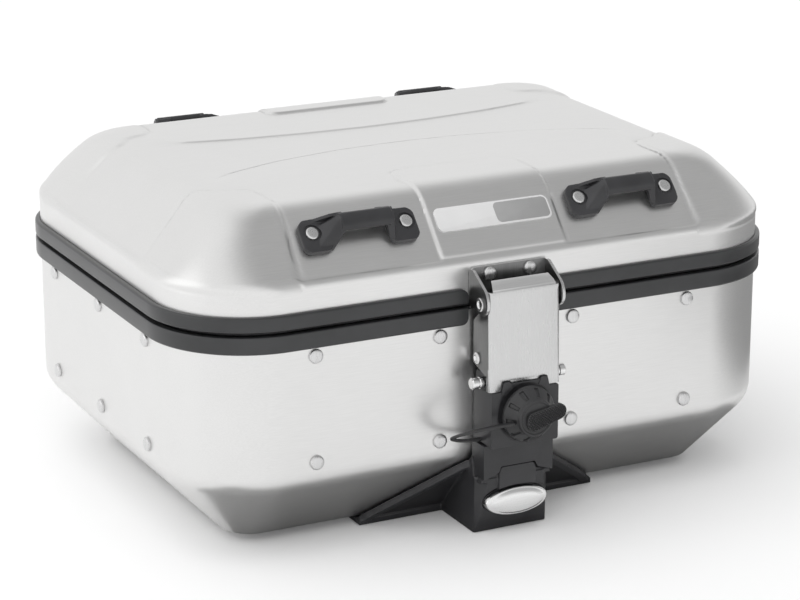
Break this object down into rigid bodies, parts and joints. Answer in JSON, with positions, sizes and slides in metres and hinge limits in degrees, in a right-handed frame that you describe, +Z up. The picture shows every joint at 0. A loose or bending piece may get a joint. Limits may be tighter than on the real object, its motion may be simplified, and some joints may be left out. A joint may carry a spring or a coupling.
{
  "type": "motorcycle top case",
  "caption": "Aluminium motorcycle top case with hinged lid, black rim frames, tie-down loops, a front over-centre latch with lock and a push-button base release.",
  "frame": {"origin": "centre of the base's underside, below the centre of the case's outline", "axes": "+X to the right seen from the latch side, -Y out of the latch side, +Z up"},
  "size_m": [0.465, 0.3979, 0.2356],
  "materials": {
    "aluminium": "satin, fine brushed, natural anodised",
    "frame_black": "satin charcoal coating",
    "plastic_black": "fine moulded grain",
    "rubber_black": "matte",
    "stainless": "brushed",
    "bright_steel": "bright satin",
    "label_grey": "satin, blank"
  },
  "bodies": {
    "case_body": {"body_shell": "aluminium", "rivet_strip_front_upper": "aluminium", "rivet_strip_front_lower": "aluminium", "rivet_strip_back_upper": "aluminium", "rivet_strip_back_lower": "aluminium", "rivet_strip_left_upper": "aluminium", "rivet_strip_left_lower": "aluminium", "rivet_strip_right_upper": "aluminium", "rivet_strip_right_lower": "aluminium", "body_rim_frame": "frame_black", "rim_seal": "rubber_black", "floor_mat": "rubber_black", "cap_strap": "rubber_black", "base_plate": "plastic_black", "lower_block": "plastic_black", "lock_block": "plastic_black", "lock_barrel": "stainless", "release_spring": "stainless", "base_screw_front_left": "stainless", "base_screw_front_right": "stainless", "base_screw_back_left": "stainless", "base_screw_back_right": "stainless", "hinge_body_leaf_left": "stainless", "hinge_body_leaf_right": "stainless", "catch_pin": "bright_steel"},
    "lid": {"lid_shell": "aluminium", "lid_rim_frame": "frame_black", "badge_plate": "label_grey", "lid_bracket": "stainless", "bracket_rivet_left": "bright_steel", "bracket_rivet_right": "bright_steel", "lever_pivot_pin": "bright_steel", "hinge_lid_leaf_left": "stainless", "hinge_lid_leaf_right": "stainless", "hinge_pin_left": "bright_steel", "hinge_pin_right": "bright_steel", "tie_loop_front_left": "plastic_black", "tie_loop_front_right": "plastic_black", "tie_loop_back_left": "plastic_black", "tie_loop_back_right": "plastic_black", "loop_rivet_front_left_inner": "bright_steel", "loop_rivet_front_left_outer": "bright_steel", "loop_rivet_front_right_inner": "bright_steel", "loop_rivet_front_right_outer": "bright_steel", "loop_rivet_back_left_inner": "bright_steel", "loop_rivet_back_left_outer": "bright_steel", "loop_rivet_back_right_inner": "bright_steel", "loop_rivet_back_right_outer": "bright_steel"},
    "lever": {"latch_lever": "stainless", "claw_pivot_pin": "bright_steel"},
    "claw": {"claw": "stainless"},
    "lock_plug": {"lock_plug": "bright_steel", "lock_cam": "stainless"},
    "dust_cap": {"dust_cap": "rubber_black"},
    "release_button": {"release_button": "bright_steel", "release_bolt": "stainless"}
  },
  "joints": [
    {"name": "lid_hinge", "type": "hinge", "parent": "case_body", "child": "lid", "pos_m": [0, 0.178, 0.1615], "axis": [-1, 0, 0], "range_deg": [0, 100]},
    {"name": "lever_hinge", "type": "hinge", "parent": "lid", "child": "lever", "pos_m": [0, -0.1875, 0.1662], "axis": [-1, 0, 0], "range_deg": [0, 95]},
    {"name": "claw_hinge", "type": "hinge", "parent": "lever", "child": "claw", "pos_m": [0, -0.1787, 0.126], "axis": [-1, 0, 0], "range_deg": [-95, 0]},
    {"name": "lock_turn", "type": "hinge", "parent": "case_body", "child": "lock_plug", "pos_m": [0, -0.196, 0.0894], "axis": [0, -1, 0], "range_deg": [0, 90]},
    {"name": "cap_pull", "type": "slide", "parent": "case_body", "child": "dust_cap", "axis": [0, -1, 0], "range_m": [0, 0.008]},
    {"name": "release_push", "type": "slide", "parent": "case_body", "child": "release_button", "axis": [0, 1, 0], "range_m": [0, 0.0045], "stiffness_N_per_m": 900}
  ],
  "couplings": [
    {"joint": "claw_hinge", "follows": "lever_hinge", "ratio": -1}
  ]
}
